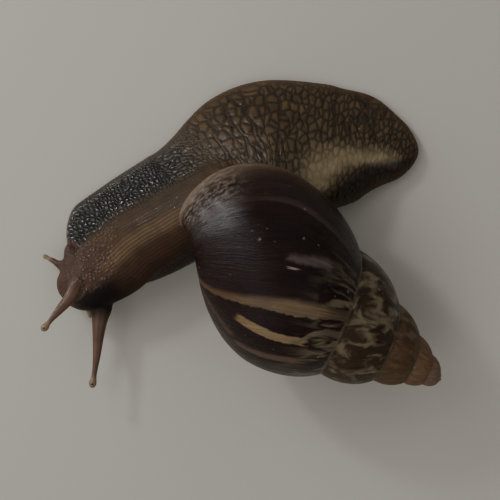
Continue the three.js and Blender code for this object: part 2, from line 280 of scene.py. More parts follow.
# The shell is a self-similar spiral. Its section is given for the newest growth line, at the lip, as heights
# along the axis from the spiral's own apex and as reaches outwards from the axis.
shell = {
    "apex": (55, -40, 14.5),  # where the whorls would shrink to nothing
    "heading": 30.6,  # turn of the axis from -X towards +Y, apex to base
    "tilt": 5.5,  # rise of the base end
    "growth": 1.596,  # how much larger each turn is than the one before
    "swell": 0.1,  # how much wider the older whorls are than that makes them
    "swellFrom": 0.37,  # turns back from the lip between which they widen
    "swellTo": 1.09,
    "turns": 5,
    "stepsPerTurn": 132,
    "sectionSteps": 92,
    "lipAngle": 96,  # place of the lip round the axis, from straight up
    "centreRadius": 2.4,
    "centreHeight": 62.8,
    "reachOut": 23.9,
    "reachUp": 29.4,
    "reachDown": 28.3,
    "fullnessUp": 2.03,  # superellipse powers of the shoulder and the base
    "fullnessDown": 1.76,
    "baseSweep": 78,  # how far growth lines trail at the base end
    "sweepFrom": 80,  # place on the section where they start to trail
    "sweepPower": 2.5,
    "lidAngle": 4,  # share of the grid that closes a section to the axis
    "innerRadius": 0.15,
    "wall": 1.2,
    "lipTurns": 0.02,  # over which the wall thickens from its sharp edge
    "liningTurns": 0.3,  # how far the mouth is lined
    "startTurns": 0.25,  # over which the first whorl opens
    "nucleusRadius": 1.9,
    "ridgeHeight": 0.22,  # relief of the growth ridges at the lip
    "ridgesPerTurn": 26,
    "mergeReach": 0.002,  # closes the strip where its rows meet
}
shellSizes = tuple(name for name in shell if name not in (
    "apex", "heading", "tilt", "stepsPerTurn", "sectionSteps", "fullnessUp", "fullnessDown", "mergeReach"))
nucleusSizes = {"segments": 40, "rings": 24, "growthPlace": -1800.0, "section": 60.0}


def shellFrame():
    heading, tilt = math.radians(shell["heading"]), math.radians(shell["tilt"])
    axis = Vector((-math.cos(heading) * math.cos(tilt), math.sin(heading) * math.cos(tilt), math.sin(tilt)))
    upward = (Vector((0, 0, 1)) - axis * axis.z).normalized()
    return axis, upward, axis.cross(upward)


def buildShellTree():
    words = {"apex": "Vector", "turning": "Vector", "stepsAlong": "Int", "stepsAcross": "Int"}
    words.update({size: "Float" for size in shellSizes + ("powerUp", "powerDown")})
    tree, sockets, group = newGeometryTree("spiralShell", {size: "NodeSocket" + word for size, word in words.items()})
    grid = addNode(tree, "GeometryNodeMeshGrid", {
        "Size X": 1.0, "Size Y": 1.0, "Vertices X": group["stepsAlong"], "Vertices Y": group["stepsAcross"]})
    cell = addNode(tree, "ShaderNodeSeparateXYZ", {0: addNode(tree, "GeometryNodeInputPosition")})
    values = {size: group[size] for size in words}
    values.update(column=cell.outputs["X"], row=cell.outputs["Y"])
    addRows(tree, values, (
        # along the spiral: out to the lip, then folded back to line the mouth
        ("strip", "ADD", "turns", "liningTurns"), ("share", "ADD", "column", 0.5),
        ("run", "MULTIPLY_ADD", "strip", "share", 0.0), ("signed", "SUBTRACT", "run", "turns"),
        ("folded", "ABSOLUTE", "signed"), ("place", "MULTIPLY", "folded", -1.0),
        ("inside", "MAXIMUM", "signed", 0.0), ("fold", "DIVIDE", "inside", "lipTurns"),
        ("fold", "MULTIPLY", "fold", -1.0), ("thin", "EXPONENT", "fold"), ("lining", "SUBTRACT", "thin", 1.0),
        ("liningGrow", "MULTIPLY", "lining", "wall"),
        # across the section, with a lid at each end down to the axis
        ("half", "ADD", "row", 0.5), ("lids", "MULTIPLY_ADD", "lidAngle", 2.0, 180.0),
        ("open", "MULTIPLY", "half", "lids"), ("wide", "SUBTRACT", "open", "lidAngle"),
        ("above", "MAXIMUM", "wide", 0.0), ("angle", "MINIMUM", "above", 180.0), ("past", "SUBTRACT", "wide", "angle"),
        ("pastSize", "ABSOLUTE", "past"), ("lid", "DIVIDE", "pastSize", "lidAngle"),
        # growth lines trail towards the base
        ("beyond", "SUBTRACT", "angle", "sweepFrom"), ("reachSweep", "SUBTRACT", 180.0, "sweepFrom"),
        ("trailShare", "DIVIDE", "beyond", "reachSweep"), ("trailClear", "MAXIMUM", "trailShare", 0.0),
        ("trailCurve", "POWER", "trailClear", "sweepPower"), ("trailAngle", "MULTIPLY", "trailCurve", "baseSweep"),
        ("trail", "DIVIDE", "trailAngle", 360.0), ("turn", "SUBTRACT", "place", "trail"),
        ("scale", "POWER", "growth", "turn"), ("turnsBack", "MULTIPLY", "turn", -1.0),
        # the older whorls are a little wider than the steady growth makes them
        ("eased", "ease", "turnsBack", "swellFrom", "swellTo"), ("swollen", "MULTIPLY_ADD", "eased", "swell", 1.0),
        ("girth", "MULTIPLY", "scale", "swollen"),
        # the section itself
        ("radian", "RADIANS", "angle"), ("sine", "SINE", "radian"), ("sineClear", "MAXIMUM", "sine", 0.0),
        ("cosine", "COSINE", "radian"), ("cosineSize", "ABSOLUTE", "cosine"), ("cosineSign", "SIGN", "cosine"),
        ("isDown", "GREATER_THAN", "angle", 90.0), ("powerGap", "SUBTRACT", "powerDown", "powerUp"),
        ("power", "MULTIPLY_ADD", "isDown", "powerGap", "powerUp"),
        ("reachGap", "SUBTRACT", "reachDown", "reachUp"),
        ("reachLong", "MULTIPLY_ADD", "isDown", "reachGap", "reachUp"),
        ("outShare", "POWER", "sineClear", "power"), ("longShare", "POWER", "cosineSize", "power"),
        ("opening", "ADD", "place", "turns"), ("openShare", "DIVIDE", "opening", "startTurns"),
        ("openLow", "MINIMUM", "openShare", 1.0), ("openClear", "MAXIMUM", "openLow", 0.0001),
        ("started", "SQRT", "openClear"), ("sized", "MULTIPLY", "scale", "started"),
        ("wideSized", "MULTIPLY", "girth", "started"),
        # low ridges left by pauses in growth, finer at the lip
        ("ridgePlace", "MULTIPLY", "place", "ridgesPerTurn"), ("ridge", "noiseLine", "ridgePlace", 1.0, 2.0),
        ("ridge", "SUBTRACT", "ridge", 0.5), ("ridge", "MULTIPLY", "ridge", "ridgeHeight"),
        ("ridge", "MULTIPLY", "ridge", "scale"), ("grow", "ADD", "liningGrow", "ridge"),
        ("outReach", "MULTIPLY_ADD", "reachOut", "wideSized", "grow"), ("outPart", "MULTIPLY", "outReach", "outShare"),
        ("outward", "MULTIPLY_ADD", "centreRadius", "girth", "outPart"),
        ("longReach", "MULTIPLY_ADD", "reachLong", "sized", "grow"), ("longPart", "MULTIPLY", "longReach", "longShare"),
        ("longSigned", "MULTIPLY", "longPart", "cosineSign"), ("centre", "MULTIPLY", "centreHeight", "scale"),
        ("height", "SUBTRACT", "centre", "longSigned"),
        ("lidGap", "SUBTRACT", "innerRadius", "outward"), ("radius", "MULTIPLY_ADD", "lid", "lidGap", "outward"),
        ("spin", "MULTIPLY_ADD", "turn", 360.0, "lipAngle"), ("around", "RADIANS", "spin"),
        ("aroundSine", "SINE", "around"), ("aroundCosine", "COSINE", "around"),
        ("sideX", "MULTIPLY", "radius", "aroundSine"), ("upZ", "MULTIPLY", "radius", "aroundCosine"),
        ("placeDegrees", "MULTIPLY", "place", 360.0), ("at", "point", "sideX", "height", "upZ"),
        # the rounded first chamber, on the axis at the start of the strip
        ("first", "MULTIPLY", "turns", -1.0), ("smallest", "POWER", "growth", "first"),
        ("nucleusHeight", "MULTIPLY", "smallest", "centreHeight"), ("nucleusPlace", "point", 0.0, "nucleusHeight"),
    ))
    strip = grid.outputs["Mesh"]
    nucleus = addNode(tree, "GeometryNodeMeshUVSphere", {
        "Segments": nucleusSizes["segments"], "Rings": nucleusSizes["rings"], "Radius": values["nucleusRadius"]})
    nucleus = nucleus.outputs["Mesh"]
    kind = "GeometryNodeStoreNamedAttribute"
    for name, value in (("growthPlace", "placeDegrees"), ("section", "angle")):
        strip = addNode(tree, kind, {"Geometry": strip, "Name": name, "Value": values[value]})
        nucleus = addNode(tree, kind, {"Geometry": nucleus, "Name": name, "Value": nucleusSizes[name]})
    strip = addNode(tree, "GeometryNodeSetPosition", {"Geometry": strip, "Position": values["at"]})
    strip = addNode(tree, "GeometryNodeMergeByDistance", {"Geometry": strip, "Distance": shell["mergeReach"]})
    nucleus = addNode(tree, "GeometryNodeTransform", {"Geometry": nucleus, "Translation": values["nucleusPlace"]})
    both = addNode(tree, "GeometryNodeJoinGeometry")
    for part in (nucleus, strip):
        tree.links.new(part.outputs[0], both.inputs[0])

    # into place, and worn flat where it would pass the floor
    turned = addNode(tree, "GeometryNodeTransform", {
        "Geometry": both, "Translation": group["apex"], "Rotation": group["turning"]})
    where = addNode(tree, "ShaderNodeSeparateXYZ", {0: addNode(tree, "GeometryNodeInputPosition")})
    clear = addNode(tree, "ShaderNodeMath", {0: where.outputs["Z"], 1: 0.0}, operation="MAXIMUM")
    onFloor = addNode(tree, "ShaderNodeCombineXYZ", {"X": where.outputs["X"], "Y": where.outputs["Y"], "Z": clear})
    rested = addNode(tree, "GeometryNodeSetPosition", {"Geometry": turned, "Position": onFloor})
    sized = addNode(tree, "GeometryNodeTransform", {"Geometry": rested, "Scale": (metresPerMm,) * 3})
    endGeometryTree(tree, sized, group["material"])
    return tree, sockets


def buildShell(material):
    axis, upward, sideward = shellFrame()
    columns = Matrix((sideward, axis, upward)).transposed()
    tree, sockets = buildShellTree()
    values = {name: float(shell[name]) for name in shellSizes}
    values["powerUp"] = 2 / shell["fullnessUp"]
    values["powerDown"] = 2 / shell["fullnessDown"]
    values["stepsAlong"] = int(round((shell["turns"] + shell["liningTurns"]) * shell["stepsPerTurn"])) + 1
    values["stepsAcross"] = shell["sectionSteps"] + 5
    values["apex"] = shell["apex"]
    values["turning"] = tuple(columns.to_euler())
    values["material"] = material
    piece = makePiece("spiral_shell", [(0, 0, 0)], [])
    applyTree(piece, tree, sockets, values)
    print("shell", len(piece.data.polygons), "faces")
    return piece


# Streaks of the body whorl. Each lies between two edges, in degrees of turn back from the lip against the place on
# the section. Its span is the part of the section that it covers, and soft and jag say how its newer and its older
# edge fade and how far they are notched.
streaks = (
    {"colour": "#685641", "soft": (5.0, 1.2), "jag": (0.6, 3.4), "span": (30, 152),
     "newer": ((0, -84), (44, -86.5), (54, -90.5), (67, -94.5), (79, -98.5), (88, -103), (101, -107), (109, -110),
               (129, -113.5), (140, -113), (180, -112)),
     "older": ((0, -93), (47, -95.5), (58, -99.5), (65, -103), (75, -107), (88, -111), (98, -113), (108, -115.5),
               (129, -118), (139, -118), (180, -116))},
    {"colour": "#806b4f", "soft": (1.4, 1.2), "jag": (1.6, 2.0), "span": (64, 109),
     "newer": ((0, -116), (65, -118.2), (73, -120.7), (84, -123.7), (97, -124.2), (109, -123.4), (180, -123)),
     "older": ((0, -122), (66, -124.3), (75, -127.3), (86, -129.9), (96, -130.4), (107, -129.2), (180, -129))},
    {"colour": "#5a463b", "soft": (4.0, 2.0), "jag": (1.0, 1.5), "span": (64, 104),
     "newer": ((0, -138), (68, -138), (84, -144), (97, -147), (180, -147)),
     "older": ((0, -143), (68, -143.5), (84, -149.5), (97, -151.5), (180, -151))},
    {"colour": "#4c3b33", "soft": (4.0, 3.0), "jag": (1.0, 1.0), "span": (108, 142),
     "newer": ((0, -140), (111, -141), (119, -136.5), (126, -132), (133, -127), (138, -122.5), (180, -112)),
     "older": ((0, -146), (111, -147), (119, -142), (126, -137), (133, -132), (138, -127), (180, -116))},
    {"colour": "#6a5c4c", "soft": (2.0, 2.0), "jag": (1.5, 1.5), "span": (44, 72),
     "newer": ((0, -96), (55, -106), (61, -110.5), (65, -114.5), (69, -122), (180, -128)),
     "older": ((0, -100), (55, -111), (61, -115.5), (65, -119), (69, -125.5), (180, -131))},
    {"colour": "#372b26", "soft": (5.0, 2.0), "jag": (1.0, 1.0), "span": (46, 136),
     "newer": ((0, -44), (66, -44.5), (95, -43), (128, -42.5), (149, -37), (180, -32)),
     "older": ((0, -49), (66, -48.5), (95, -47.5), (128, -46.5), (149, -41), (180, -35))},
    {"colour": "#514641", "soft": (5.0, 2.5), "jag": (2.0, 2.0), "span": (66, 92),
     "newer": ((0, -60), (70, -67.5), (77, -70.5), (85, -75.5), (93, -78.5), (180, -90)),
     "older": ((0, -66), (70, -73), (77, -76), (85, -79.5), (93, -81), (180, -94))},
)



# Colours of the shell between its marks, against degrees of turn back from the lip.
shellTones = (
    (0, "#6c5b48"), (9, "#56473a"), (15, "#35261c"), (25, "#1e110d"), (40, "#1e0f0d"), (60, "#170b09"),
    (100, "#1c0f0e"), (150, "#20130f"), (230, "#1c130f"), (345, "#251a11"), (430, "#2e2115"), (640, "#3a2a1b"),
    (760, "#453220"), (1000, "#5e4632"), (1200, "#674e38"), (1560, "#6b5445"), (1800, "#755f51"),
)
shellLook = {
    "wholeTurn": 1800,  # degrees of turn in the whole shell
    "flame": "#6d604b",
    "flameNearSeam": ((0, 1), (40, 1), (56, 0.85), (66, 0.3), (80, 0), (180, 0)),
    "seam": "#6b5f4d",
    "bare": "#7c7166",  # lime where the skin is rubbed off
    "basePink": (0.55, 0.46, 0.42, 1),
    "chipsPerMetre": 560.0,
    "lineRelief": 0.0003,  # metres, coarser than the true lines so that they show
    "lineStrength": 0.65,
}


# A curve through (place on the section, value) points.
def addCurve(tree, source, points, low, high):
    curve = addNode(tree, "ShaderNodeFloatCurve", {"Value": source})
    spots = curve.mapping.curves[0].points
    while len(spots) < len(points):
        spots.new(0.5, 0.5)
    for spot, (at, value) in zip(spots, points):
        spot.location = (at / 180, (value - low) / (high - low))
        spot.handle_type = "VECTOR"
    curve.mapping.update()
    return addNode(tree, "ShaderNodeMapRange", {0: curve, 3: low, 4: high})


# Takes a value down to nothing outside its limits, each given as what it goes by and where it fades in.
def addWindow(tree, values, name, word, limits):
    values.setdefault(name, 1.0)
    for limit in limits:
        addRows(tree, values, (("limit", word, *limit), (name, "MULTIPLY", name, "limit")))


# Snail shell: aragonite under a thin horny skin that grew line by line. It is glossy where the skin is whole,
# with the growth lines catching the light, and chalky and warm brown on the worn early whorls.
def shellMaterial():
    material, tree, values = newMaterial("snail_shell_horny_skin", ("growthPlace", "section"))
    values["place"] = values["growthPlace"]
    addRows(tree, values, (
        ("age", "MULTIPLY", "place", -1 / shellLook["wholeTurn"]), ("across", "MULTIPLY", "section", 1 / 180)))
    ramp = addNode(tree, "ShaderNodeValToRGB", {0: values["age"]})
    stops = ramp.color_ramp.elements
    for i, (at, tone) in enumerate(shellTones):
        stop = stops[i] if i < 2 else stops.new(at / shellLook["wholeTurn"])
        stop.position = at / shellLook["wholeTurn"]
        stop.color = linearColour(tone)
    values["colour"] = ramp.outputs[0]
    addRows(tree, values, (
        # growth lines about half a millimetre apart, slanted forward to the seam and broken up along their length
        ("slope", "range", "section", 110.0, 20.0, 0.0, 31.0), ("slanted", "ease", "place", -40.0, -75.0),
        ("slant", "MULTIPLY", "slope", "slanted"), ("grown", "SUBTRACT", "place", "slant"),
        ("linePlace", "MULTIPLY", "grown", 0.9), ("lineAcross", "MULTIPLY", "section", 0.035),
        ("lineAt", "point", "linePlace", "lineAcross"), ("lines", "noise", "lineAt", 1.0, 4.0, 0.65),
        ("broadPlace", "MULTIPLY", "grown", 0.13), ("broadAt", "point", "broadPlace", "lineAcross", 5.0),
        ("broad", "noise", "broadAt", 1.0, 3.0), ("lineShade", "range", "lines", 0.3, 0.7, 0.75, 1.3),
        ("broadShade", "range", "broad", 0.35, 0.7, 0.8, 1.35), ("shade", "MULTIPLY", "lineShade", "broadShade"),
        ("colour", "scaled", "colour", "shade"), ("flameAcross", "MULTIPLY", "section", 0.05)))

    # grey-cream flames, dense on the second whorl and only near the seam of the newest
    for name, scale, shift in (("newFlames", 0.16, 1.7), ("oldFlames", 0.078, 8.3)):
        addRows(tree, values, (
            ("flamePlace", "MULTIPLY", "grown", scale), ("flameAt", "point", "flamePlace", "flameAcross", shift),
            (name, "noise", "flameAt", 1.0, 4.0, 0.5, 0.7)))
    values["nearSeam"] = addCurve(tree, values["across"], shellLook["flameNearSeam"], 0, 1).outputs[0]
    addRows(tree, values, (
        ("where", "range", "place", -50.0, -78.0, 0.0, 0.95), ("where", "MULTIPLY", "nearSeam", "where"),
        ("isOlder", "range", "place", -310.0, -375.0, 0.0, 1.0), ("where", "MAXIMUM", "isOlder", "where"),
        ("worn", "range", "place", -640.0, -860.0, 1.0, 0.2), ("where", "MULTIPLY", "where", "worn"),
        ("isOld", "range", "place", -330.0, -370.0), ("flames", "mix", "isOld", "newFlames", "oldFlames"),
        ("flames", "ease", "flames", 0.46, 0.66), ("flames", "MULTIPLY", "flames", "where"),
        ("colour", "blend", "flames", "colour", shellLook["flame"]),
        # the seam itself is a fine pale thread
        ("seam", "range", "place", -180.0, -470.0, 41.6, 37.2), ("thread", "SUBTRACT", "section", "seam"),
        ("thread", "MULTIPLY_ADD", "lines", 5.0, "thread"), ("thread", "SUBTRACT", "thread", 2.5),
        ("thread", "ABSOLUTE", "thread"), ("thread", "range", "thread", 2.2, 0.6, 0.0, 0.6),
        ("colour", "blend", "thread", "colour", shellLook["seam"]),
        # streaks have ragged edges, and every one turns duller and pinker towards the base
        ("jags", "MULTIPLY", "section", 0.22), ("jags", "noiseLine", "jags", 1.0, 4.0, 0.6),
        ("jags", "SUBTRACT", "jags", 0.5), ("ragged", "range", "lines", 0.3, 0.7, -3.0, 3.0),
        ("ragged", "ADD", "section", "ragged"), ("streakFade", "range", "broad", 0.3, 0.5, 0.75, 1.0),
        ("paler", "range", "section", 88.0, 124.0), ("paling", "blend", "paler", (1, 1, 1, 1), shellLook["basePink"]),
        ("duller", "range", "ragged", 62.0, 54.0, 1.0, 0.62), ("paling", "scaled", "paling", "duller")))
    for streak in streaks:
        values.update(mask=1.0, tone=linearColour(streak["colour"])[:3])
        for edge, sign, soft, jag in zip(("newer", "older"), (-1, 1), streak["soft"], streak["jag"]):
            values["line"] = addCurve(tree, values["across"], streak[edge], -180, 0).outputs[0]
            addRows(tree, values, (
                ("line", "MULTIPLY_ADD", "jags", jag, "line"), ("apart", "SUBTRACT", "place", "line"),
                ("side", "ease", "apart", -sign * soft / 2, sign * soft / 2), ("mask", "MULTIPLY", "mask", "side")))
        start, end = streak["span"]
        addWindow(tree, values, "mask", "ease", (("ragged", start - 2, start + 2), ("ragged", end + 2, end - 2)))
        addRows(tree, values, (
            ("mask", "MULTIPLY", "mask", "streakFade"), ("tone", "scaled", "tone", "lineShade"),
            ("tone", "times", "tone", "paling"), ("colour", "blend", "mask", "colour", "tone")))

    # tiny chips and lime specks, three or four tenths of a millimetre across
    addRows(tree, values, (
        ("crumble", "noiseColour", "spot", 1500.0, 2.0), ("crumble", "scaled", "crumble", 0.0009),
        ("chipAt", "moved", "spot", "crumble")))
    chips = addNode(tree, "ShaderNodeTexVoronoi", {"Vector": values["chipAt"], "Scale": shellLook["chipsPerMetre"]})
    pick = addNode(tree, "ShaderNodeSeparateColor", {0: chips.outputs["Color"]})
    values.update(chipFar=chips.outputs["Distance"], pick=pick.outputs[0], chipSize=pick.outputs[1])
    addRows(tree, values, (
        ("chipSize", "range", "chipSize", 0.0, 1.0, 0.7, 2.2), ("chip", "MULTIPLY", "chipFar", "chipSize"),
        ("chip", "range", "chip", 0.22, 0.08, 0.0, 0.6), ("chipOn", "GREATER_THAN", "pick", 0.7),
        ("chip", "MULTIPLY", "chip", "chipOn"),
        # pale scuffs where the lip has rubbed, beside the neck
        ("scuffPlace", "MULTIPLY", "place", 0.28), ("scuffAcross", "MULTIPLY", "section", 0.22),
        ("scuffAt", "point", "scuffPlace", "scuffAcross"), ("scuff", "noise", "scuffAt", 1.0, 4.0, 0.7),
        ("scuff", "range", "scuff", 0.46, 0.62, 0.0, 0.7)))
    addWindow(tree, values, "scuff", "ease", (
        ("place", -52.0, -30.0), ("place", 0.0, -3.0), ("section", 118.0, 140.0), ("section", 176.0, 162.0)))
    # one bright scratch on the body whorl
    addWindow(tree, values, "scratch", "range", (
        ("grown", -92.4, -91.9), ("grown", -90.7, -91.1), ("ragged", 83.0, 85.0), ("ragged", 91.0, 89.0)))
    # the skin is freshest, and shines most, on a patch behind the lip
    addWindow(tree, values, "gloss", "ease", (
        ("section", 116.0, 134.0), ("place", -74.0, -56.0), ("place", -26.0, -44.0)))
    addRows(tree, values, (
        ("bare", "MAXIMUM", "chip", "scuff"), ("bare", "MAXIMUM", "bare", "scratch"),
        ("colour", "blend", "bare", "colour", shellLook["bare"]),
        ("worn", "range", "place", -420.0, -900.0, 0.3, 0.52), ("rough", "range", "lines", 0.3, 0.7, -0.06, 0.08),
        ("rough", "ADD", "worn", "rough"), ("height", "ADD", "lines", "broad"),
        ("streaked", "range", "lines", 0.35, 0.65, 0.35, 1.25), ("gloss", "MULTIPLY", "gloss", "streaked"),
        ("gloss", "range", "gloss", 0.0, 1.0, 0.15, 0.68)))
    bump = addNode(tree, "ShaderNodeBump", {
        "Strength": shellLook["lineStrength"], "Distance": shellLook["lineRelief"], "Height": values["height"]})
    addSurface(tree, {"Base Color": values["colour"], "Roughness": values["rough"], "IOR": 1.45,
                      "Specular IOR Level": values["gloss"], "Normal": bump})
    return material


shellFinish = shellMaterial()
shellPiece = buildShell(shellFinish)
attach(shellPiece, "root")
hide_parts("shell")

# The foot, neck, head and feelers are one skin. Stations of the foot run from front to tail: x, y of its middle,
# half width, ridge height, ridge offset (to the animal's right is plus).
footStations = (
    (-45.4, -6.4, 7.6, 4.5, -1.0), (-41.3, -4.1, 11.3, 6.5, -2.0), (-29.9, 0.1, 14.5, 10.0, -3.4),
    (-16.5, 7.6, 15.3, 13.5, -6.1), (-11.2, 12.6, 14.3, 15.5, -8.4), (-5.5, 16.6, 16.1, 18.0, -11.2),
    (0.8, 20.7, 17.6, 19.7, -13.4), (8.7, 23.1, 17.9, 20.5, -14.3), (21.9, 23, 17.0, 15.5, -12.1),
    (28.1, 23.2, 15.6, 11.5, -7.9), (34.3, 23.4, 13.3, 8.6, -5.0), (41.8, 22.2, 8.5, 6.0, -1.9),
    (47.7, 21.7, 5.4, 4.4, -0.3),
)
foot = {
    "sideReach": 0.05,  # over which the sideways direction is evened out
    "rim": 1.2,  # thickness of the sole's edge
    "right": 1.5,  # superellipse powers of the two flanks
    "left": 2.2,
    "tipHalf": 0.4,
    "frontRound": 6.5,  # length of the rounded front and tail ends
    "tailRound": 5.6,
    "lengthSteps": 300,
    "arcSteps": 90,
    "soleSteps": 24,
    "soleReach": 0.995,  # share of the half width that the flat sole covers
}

# Stations of the neck and head from inside the shell to the lips: x, y, z, half width, half height.
neckStations = (
    (-0.6, 9, 13.5, 9.6, 10), (-7, 7.1, 12.5, 9.4, 9.5), (-13.7, 4.4, 11, 8.7, 8.6), (-20.2, 0.8, 9.9, 8.8, 7.7),
    (-27.2, -3.4, 9.4, 9, 7.2), (-32.1, -7.6, 9, 9.2, 6.9), (-36.6, -10.7, 8.7, 8.7, 6.7),
    (-40.1, -12.9, 8.2, 7.9, 6.5), (-43.4, -13.3, 7.2, 6.8, 5.8), (-46, -12.9, 6.2, 4.7, 4.7),
    (-47.7, -12.5, 5.5, 2.9, 3.4), (-48.5, -12.3, 5.2, 1.1, 1.5),
)
neck = {"fullness": 2.15, "lengthSteps": 240, "sides": 120}

# Each feeler's axis from inside the head to its tip: x, y, z, radius.
feelers = {
    "upperRight": ((-40.2, -10.9, 11.5, 2.9), (-41.8, -13.2, 13, 2.3), (-44.1, -17.1, 14, 1.6),
                   (-46.9, -20.5, 14.8, 1.05), (-49, -23.1, 15.4, 0.62), (-50.1, -24.5, 15.8, 1)),
    "upperLeft": ((-37.1, -16.3, 7, 3.4), (-36.8, -20, 7.6, 3), (-37, -23.1, 8.3, 2.15), (-37.3, -27, 9, 1.55),
                  (-37.6, -31.7, 9.5, 1.1), (-38.2, -37, 10, 0.68), (-38.6, -39.4, 10.2, 1.02)),
    "lowerRight": ((-45.9, -9.8, 4.6, 1.9), (-48.4, -8.4, 4.1, 1.2), (-50.3, -7.4, 3.8, 0.72),
                   (-51.3, -6.9, 3.6, 0.55), (-52.1, -6.5, 3.5, 0.65)),
    "lowerLeft": ((-41.2, -18, 4.2, 1.3), (-40.6, -20.2, 3.8, 0.8), (-40.2, -22.1, 3.5, 0.6)),
}
feeler = {"steps": 90, "sides": 40, "knobSteps": 10, "knobEnd": 88}
skin = {
    "voxel": 0.37,
    "blendRounds": 110,  # how widely the neck runs into the foot
    "evenRounds": 5,  # takes the grain of the voxels out
    "footSamples": 700,
    "neckSamples": 500,
    # the cheek: middle and reaches of each lobe
    "lobes": (((-45.6, -5.0, 4.6), (1.8, 2.5, 2.3)), ((-44.4, -7.6, 4.6), (2.7, 2.8, 3.2))),
    "lobeSteps": 24,
    "lobeSides": 32,
    "relax": 0.6,  # how far one round of smoothing moves a point
    "block": 4000,  # points looked up at a time
    "soleFlat": 0.25,  # what lies lower than this is pressed flat
}


# A closed mesh through rings of points, fanned from the middle of each end.
def loftFaces(ringCount, sides):
    j = np.arange(sides)
    following = (j + 1) % sides
    faces = []
    for i in range(ringCount - 1):
        here, there = i * sides, (i + 1) * sides
        faces.append(np.stack([here + j, there + j, there + following, here + following], axis=1))
    quads = np.concatenate(faces).tolist()
    first, last = ringCount * sides, ringCount * sides + 1
    fans = [(first, int(a), int(b)) for a, b in zip(j, following)]
    end = (ringCount - 1) * sides
    fans += [(last, int(end + b), int(end + a)) for a, b in zip(j, following)]
    return quads + fans


def loftPiece(name, rings):
    points = np.concatenate([rings.reshape(-1, 3), rings[:1].mean(axis=1), rings[-1:].mean(axis=1)])
    return makePiece(name, points * metresPerMm, loftFaces(rings.shape[0], rings.shape[1]))


def withDistance(stations):
    rows = np.asarray(stations, float)
    steps = np.hypot(*np.diff(rows[:, :2], axis=0).T)
    return np.column_stack([rows, np.concatenate([[0], np.cumsum(steps)])])


def rounded(distance, length):
    return np.sqrt(1 - (1 - np.clip(distance / length, 0, 1)) ** 2)


# Middle, side, half width, ridge height, ridge offset and distance of the foot at t.
def footAt(t):
    path = withDistance(footStations)
    x, y, width, ridge, offset, distance = np.moveaxis(between(path, t), -1, 0)
    rounding = rounded(distance, foot["frontRound"]) * rounded(path[-1, -1] - distance, foot["tailRound"])
    half = np.maximum(width * rounding, foot["tipHalf"])
    height = (ridge - foot["rim"]) * np.sqrt(rounding)
    middle = np.stack([x, y, np.zeros_like(x)], axis=-1)
    return middle, sideAt(path, t, foot["sideReach"]), half, height, offset * rounding, distance


def footRings():
    t = (1 - np.cos(np.linspace(0, np.pi, foot["lengthSteps"]))) / 2
    middle, side, half, height, crest, _ = (value[:, None] for value in footAt(t))
    angle = np.linspace(0, np.pi, foot["arcSteps"] + 1)[None, :]
    onRight = angle <= np.pi / 2 + 1e-9
    cosine, sine = bentRound(angle, np.where(onRight, foot["right"], foot["left"]))
    across = crest + np.where(onRight, half - crest, half + crest) * cosine
    up = foot["rim"] + height * sine
    sole = np.linspace(-foot["soleReach"], foot["soleReach"], foot["soleSteps"])[None, :] * half
    across, up = np.concatenate([sole, across], axis=1), np.concatenate([np.zeros_like(sole), up], axis=1)
    return middle + side * across[..., None] + raised(up)


def neckRings():
    t = np.linspace(0, 1, neck["lengthSteps"])
    x, y, z, halfWidth, halfHeight = (value[:, None] for value in np.moveaxis(between(neckStations, t), -1, 0))
    cosine, sine = bentRound(roundAngles(neck["sides"])[None, :], neck["fullness"])
    middle = np.stack(np.broadcast_arrays(x, y, z), axis=-1)
    return middle + sideAt(neckStations, t)[:, None] * (halfWidth * cosine)[..., None] + raised(halfHeight * sine)


# A feeler's centre line, directions and radii, ending in the round of its knob.
def feelerLine(stations):
    t = np.linspace(0, 1, feeler["steps"])
    line = between(stations, t)
    ahead = unit(between(stations, t + 0.01)[:, :3] - between(stations, t - 0.01)[:, :3])
    latitude = np.radians(np.linspace(0, feeler["knobEnd"], feeler["knobSteps"]))[1:]
    knob = line[-1, 3]
    centres = np.concatenate([line[:, :3], line[-1, :3] + np.sin(latitude)[:, None] * ahead[-1] * knob])
    return centres, np.concatenate([ahead, np.repeat(ahead[-1:], len(latitude), axis=0)]), np.concatenate(
        [line[:, 3], knob * np.cos(latitude)])


def feelerRings(stations):
    centres, ahead, radii = feelerLine(stations)
    across = unit(np.cross(ahead, (0, 0, 1.0)))
    angle = roundAngles(feeler["sides"])[None, :, None]
    ring = np.cos(angle) * across[:, None] + np.sin(angle) * np.cross(across, ahead)[:, None]
    return centres[:, None] + ring * radii[:, None, None]


def lobeRings(centre, reaches):
    latitude = np.linspace(-89, 89, skin["lobeSteps"])[:, None] * np.pi / 180
    angle = roundAngles(skin["lobeSides"])
    ball = (np.cos(latitude) * np.cos(angle), np.cos(latitude) * np.sin(angle), np.sin(latitude))
    return np.asarray(centre) + np.stack(np.broadcast_arrays(*ball), axis=-1) * np.asarray(reaches)


# Moves each point towards the middle of its neighbours, as far as its weight says.
def smoothPoints(mesh, points, weights, rounds):
    pairs = np.empty(len(mesh.edges) * 2, dtype=np.int32)
    mesh.edges.foreach_get("vertices", pairs)
    a, b = pairs.reshape(-1, 2).T
    start, end = np.concatenate([a, b]), np.concatenate([b, a])
    count = np.maximum(np.bincount(start, minlength=len(points)), 1)
    for _ in range(rounds):
        middle = np.stack([np.bincount(start, points[end, i], len(points)) for i in range(3)], axis=1) / count[:, None]
        points = points + (middle - points) * (skin["relax"] * weights)[:, None]
    return points


# For each point, the nearest sample of a path in plan, worked through in blocks to save memory.
def nearestInPlan(points, middles):
    nearest = np.empty(len(points), dtype=int)
    for start in range(0, len(points), skin["block"]):
        here = slice(start, start + skin["block"])
        nearest[here] = ((points[here, None, :2] - middles[None, :, :2]) ** 2).sum(axis=2).argmin(axis=1)
    return nearest


